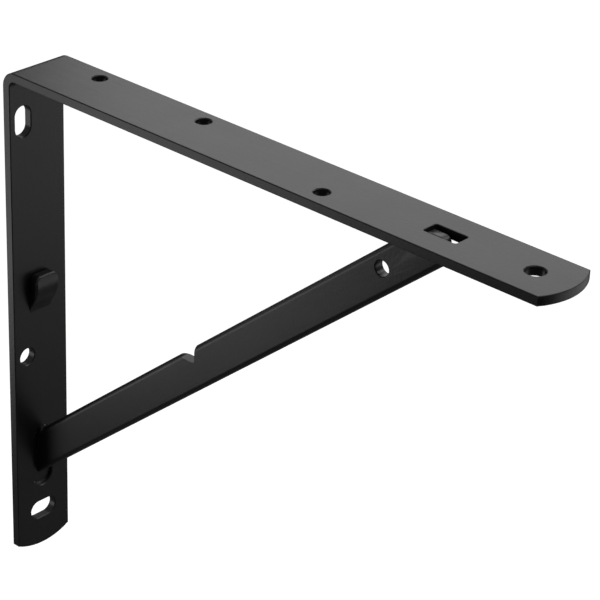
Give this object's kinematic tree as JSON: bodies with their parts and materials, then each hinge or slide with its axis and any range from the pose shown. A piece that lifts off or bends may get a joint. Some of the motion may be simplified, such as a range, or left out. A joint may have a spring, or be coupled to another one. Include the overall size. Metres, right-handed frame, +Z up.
{
  "type": "folding shelf bracket",
  "caption": "Bent steel shelf bracket with a raised hook on its wall leg and a diagonal brace that plugs in under the shelf leg and swings down out of it",
  "frame": {"origin": "on the wall face of the strap, half way along its width and half way down the wall leg", "axes": "+X out from the wall along the shelf leg, +Y along the wall, +Z up"},
  "size_m": [0.3, 0.032, 0.25],
  "materials": {
    "strap_coat": "satin black powder coat",
    "brace_coat": "satin black powder coat"
  },
  "bodies": {
    "strap": {"bent_strap": "strap_coat"},
    "brace": {"diagonal_brace": "brace_coat"}
  },
  "joints": [
    {"name": "brace_swing", "type": "hinge", "parent": "strap", "child": "brace", "pos_m": [0.0036, 0, -0.08823], "axis": [0, 1, 0], "range_deg": [0, 60]}
  ]
}
